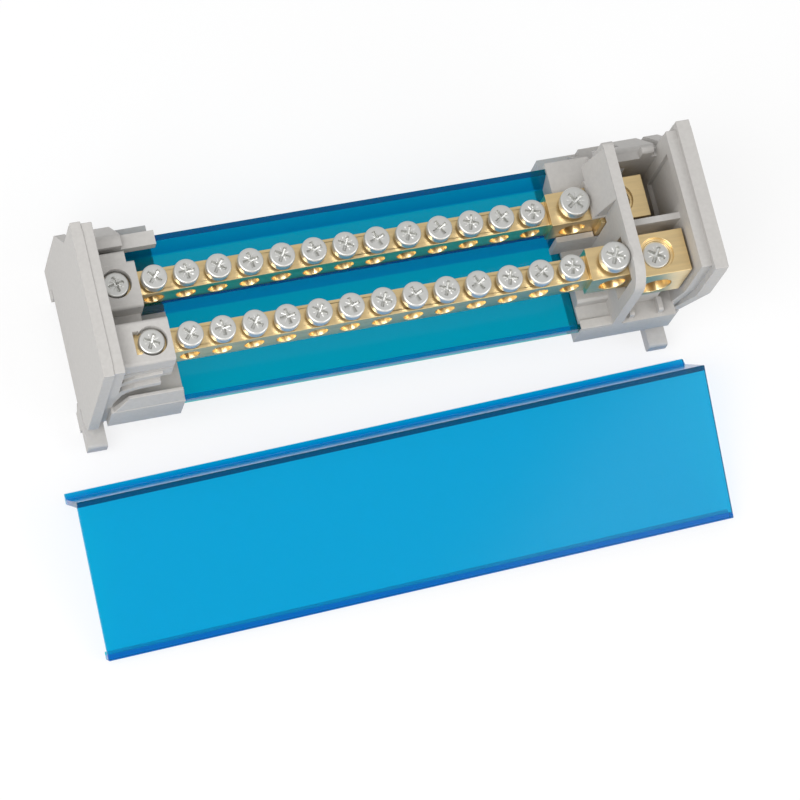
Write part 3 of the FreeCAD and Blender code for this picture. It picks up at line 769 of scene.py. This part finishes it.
class BLOCK_OT_left_details(Operator):
    """Add the square corners, the curved ribs and the sloping apron of the left support"""

    bl_idname = "distribution_block.left_details"
    bl_label = "Add left details"

    def execute(self, context):
        points = []
        faces = []
        add_square_rim(points, faces, LEFT_PLATE_X, 0.0, 0.0)
        add_square_rim(points, faces, LEFT_INNER_PLATE_X, INNER_PLATE_INSET, RIM_INSET)
        lower = rib_outline(LOWER_RIB, LOWER_RIB_HALF_WIDTH)
        add_prism(points, faces, lower, LOWER_RIB_Y, along_y)
        upper = rib_outline(UPPER_RIB, UPPER_RIB_HALF_WIDTH)
        add_prism(points, faces, upper, UPPER_RIB_Y, along_y)
        add_apron(points, faces)
        make_finish("left_support_details", points, faces)
        return {"FINISHED"}


class BLOCK_OT_right_details(Operator):
    """Add the square corners, the sloping roof and the front strips of the right support"""

    bl_idname = "distribution_block.right_details"
    bl_label = "Add right details"

    def execute(self, context):
        points = []
        faces = []
        add_square_rim(points, faces, RIGHT_PLATE_X, 0.0, 0.0)
        add_square_rim(points, faces, RIGHT_INNER_PLATE_X, INNER_PLATE_INSET, INNER_PLATE_INSET)
        add_prism(points, faces, ROOF_OUTLINE, ROOF_Y, along_y)
        for y_range, z_range in DECK_STRIPS:
            add_box(points, faces, DECK_X, y_range, z_range)
        make_finish("right_support_details", points, faces)
        return {"FINISHED"}


class BLOCK_OT_channel(Operator):
    """Give the base channel its translucent blue"""

    bl_idname = "distribution_block.channel"
    bl_label = "Dress channel"

    def execute(self, context):
        colour = settings().colours.channel
        material = tinted_plastic("tinted_channel_plastic", colour, density=900.0)
        piece = dress("base_channel", material, settings().sizes.plastic_edge)
        return {"FINISHED"}


class BLOCK_OT_cover(Operator):
    """Give the loose cover its translucent blue"""

    bl_idname = "distribution_block.cover"
    bl_label = "Dress cover"

    def execute(self, context):
        colour = settings().colours.cover
        material = tinted_plastic("tinted_cover_plastic", colour, density=800.0)
        piece = dress("cover", material, settings().sizes.plastic_edge)
        return {"FINISHED"}


class BLOCK_OT_busbars(Operator):
    """Give the two stepped busbars their machined brass"""

    bl_idname = "distribution_block.busbars"
    bl_label = "Dress busbars"

    def execute(self, context):
        material = shared_material("machined_brass", machined_brass)
        for node in BUSBAR_NODES:
            piece = dress(node, material, settings().sizes.brass_edge)
        return {"FINISHED"}


class BLOCK_OT_outgoing_screws(Operator):
    """Make the two rows of small clamping screws"""

    bl_idname = "distribution_block.outgoing_screws"
    bl_label = "Make outgoing screws"

    def execute(self, context):
        for side in SIDES:
            node = side + "_outgoing_screws"
            low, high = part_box(node)
            radius = (high.y - low.y) / 2.0
            step = (high.x - low.x - 2.0 * radius) / (OUTGOING_SCREWS_PER_BAR - 1)
            row_y = (low.y + high.y) / 2.0
            places = []
            shapes = []
            for index in range(OUTGOING_SCREWS_PER_BAR):
                turn = GOLDEN_ANGLE * (index + 1)
                places.append((low.x + radius + step * index, row_y))
                shapes.append(headed_screw(low, high, SMALL_HEAD_HEIGHT, SMALL_SHANK_SHARE, turn))
            make_screws(side + "_row_screws", node, places, shapes)
        return {"FINISHED"}


class BLOCK_OT_branch_screws(Operator):
    """Make the larger headed screw of each bar"""

    bl_idname = "distribution_block.branch_screws"
    bl_label = "Make branch screws"

    def execute(self, context):
        for side in SIDES:
            node = side + "_branch_screw"
            low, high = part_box(node)
            turn = BRANCH_TURNS[side]
            shape = headed_screw(low, high, LARGE_HEAD_HEIGHT, LARGE_SHANK_SHARE, turn)
            make_screws(side + "_large_screw", node, single_place(node), [shape])
        return {"FINISHED"}


class BLOCK_OT_incoming_screws(Operator):
    """Make the sunk screw of each incoming cube"""

    bl_idname = "distribution_block.incoming_screws"
    bl_label = "Make incoming screws"

    def execute(self, context):
        for side in SIDES:
            node = side + "_incoming_screw"
            low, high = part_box(node)
            radius = (high.y - low.y) / 2.0
            shape = ScrewShape(radius, high.z, low.z, radius, low.z, INCOMING_TURNS[side])
            make_screws(side + "_sunk_screw", node, single_place(node), [shape])
        return {"FINISHED"}


class BLOCK_OT_end_screws(Operator):
    """Make the screw that holds each bar's left end"""

    bl_idname = "distribution_block.end_screws"
    bl_label = "Make end screws"

    def execute(self, context):
        for side in SIDES:
            node = side + "_end_screw"
            low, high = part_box(node)
            turn = END_TURNS[side]
            shape = headed_screw(low, high, SMALL_HEAD_HEIGHT, SMALL_SHANK_SHARE, turn)
            make_screws(side + "_holding_screw", node, single_place(node), [shape])
        return {"FINISHED"}


def lay_floor():
    """Pale square floor under the block."""
    half = FLOOR_HALF_WIDTH
    corners = [(-half, -half, 0.0), (half, -half, 0.0), (half, half, 0.0), (-half, half, 0.0)]
    mesh = bpy.data.meshes.new("floor")
    mesh.from_pydata(corners, [], [(0, 1, 2, 3)])
    floor = add_object("floor", mesh)
    floor.data.materials.append(pale_floor())


def light_room(strength):
    """Even white light from all round."""
    world = bpy.data.worlds.new("soft_room")
    world.use_nodes = True
    background = world.node_tree.nodes["Background"]
    background.inputs["Color"].default_value = WHITE
    background.inputs["Strength"].default_value = strength
    bpy.context.scene.world = world


def area_lamp(name, power, place, width):
    """Soft square lamp that faces the block."""
    light = bpy.data.lights.new(name, "AREA")
    light.energy = power
    light.size = width
    lamp = add_object(name, light)
    lamp.location = place
    lamp.rotation_mode = "QUATERNION"
    lamp.rotation_quaternion = (Vector(LAMP_AIM) - Vector(place)).to_track_quat("-Z", "Y")


def place_camera(studio):
    """Camera that looks at the aim point from the set angles and distance."""
    back = Vector((
        math.sin(studio.azimuth) * math.cos(studio.elevation),
        -math.cos(studio.azimuth) * math.cos(studio.elevation),
        math.sin(studio.elevation),
    ))
    data = bpy.data.cameras.new("camera")
    data.sensor_width = SENSOR_MM
    data.lens = studio.focal_px * SENSOR_MM / IMAGE_WIDTH_PX
    data.clip_start = NEAREST
    data.clip_end = FARTHEST
    camera = add_object("camera", data)
    camera.location = Vector(studio.aim) + back * studio.distance
    camera.rotation_mode = "QUATERNION"
    level = (-back).to_track_quat("-Z", "Y")
    camera.rotation_quaternion = level @ Quaternion((0.0, 0.0, 1.0), studio.roll)
    bpy.context.scene.camera = camera


class BLOCK_OT_stage(Operator):
    """Set up the floor, the lamps and the camera"""

    bl_idname = "distribution_block.stage"
    bl_label = "Set the stage"

    def execute(self, context):
        studio = settings().studio
        lay_floor()
        light_room(studio.sky)
        area_lamp("key_lamp", studio.key_power, KEY_PLACE, KEY_WIDTH)
        area_lamp("fill_lamp", studio.fill_power, FILL_PLACE, FILL_WIDTH)
        place_camera(studio)
        context.scene.view_settings.view_transform = "Standard"
        return {"FINISHED"}


OPERATORS = (
    BLOCK_OT_supports,
    BLOCK_OT_left_details,
    BLOCK_OT_right_details,
    BLOCK_OT_channel,
    BLOCK_OT_cover,
    BLOCK_OT_busbars,
    BLOCK_OT_outgoing_screws,
    BLOCK_OT_branch_screws,
    BLOCK_OT_incoming_screws,
    BLOCK_OT_end_screws,
    BLOCK_OT_stage,
)


class BLOCK_PT_panel(Panel):
    """Lists the block's steps and its settings"""

    bl_idname = "BLOCK_PT_panel"
    bl_label = "Distribution block"
    bl_space_type = "VIEW_3D"
    bl_region_type = "UI"
    bl_category = "Block"

    def draw(self, context):
        for operator in OPERATORS:
            self.layout.operator(operator.bl_idname)
        for group in (settings().sizes, settings().colours, settings().studio):
            for name in group.__annotations__:
                self.layout.prop(group, name)


CLASSES = (BlockSizes, BlockColours, StudioSettings, BlockSettings, *OPERATORS, BLOCK_PT_panel)


def register():
    """Adds the classes and the scene's settings."""
    for item in CLASSES:
        bpy.utils.register_class(item)
    bpy.types.Scene.distribution_block = PointerProperty(type=BlockSettings)


def unregister():
    """Removes the classes and the scene's settings."""
    del bpy.types.Scene.distribution_block
    for item in reversed(CLASSES):
        bpy.utils.unregister_class(item)


def main():
    """Builds every piece in order."""
    register()
    bpy.ops.distribution_block.supports()
    bpy.ops.distribution_block.left_details()
    bpy.ops.distribution_block.right_details()
    bpy.ops.distribution_block.channel()
    bpy.ops.distribution_block.cover()
    bpy.ops.distribution_block.busbars()
    bpy.ops.distribution_block.outgoing_screws()
    bpy.ops.distribution_block.branch_screws()
    bpy.ops.distribution_block.incoming_screws()
    bpy.ops.distribution_block.end_screws()
    bpy.ops.distribution_block.stage()


if __name__ == "__main__":
    main()
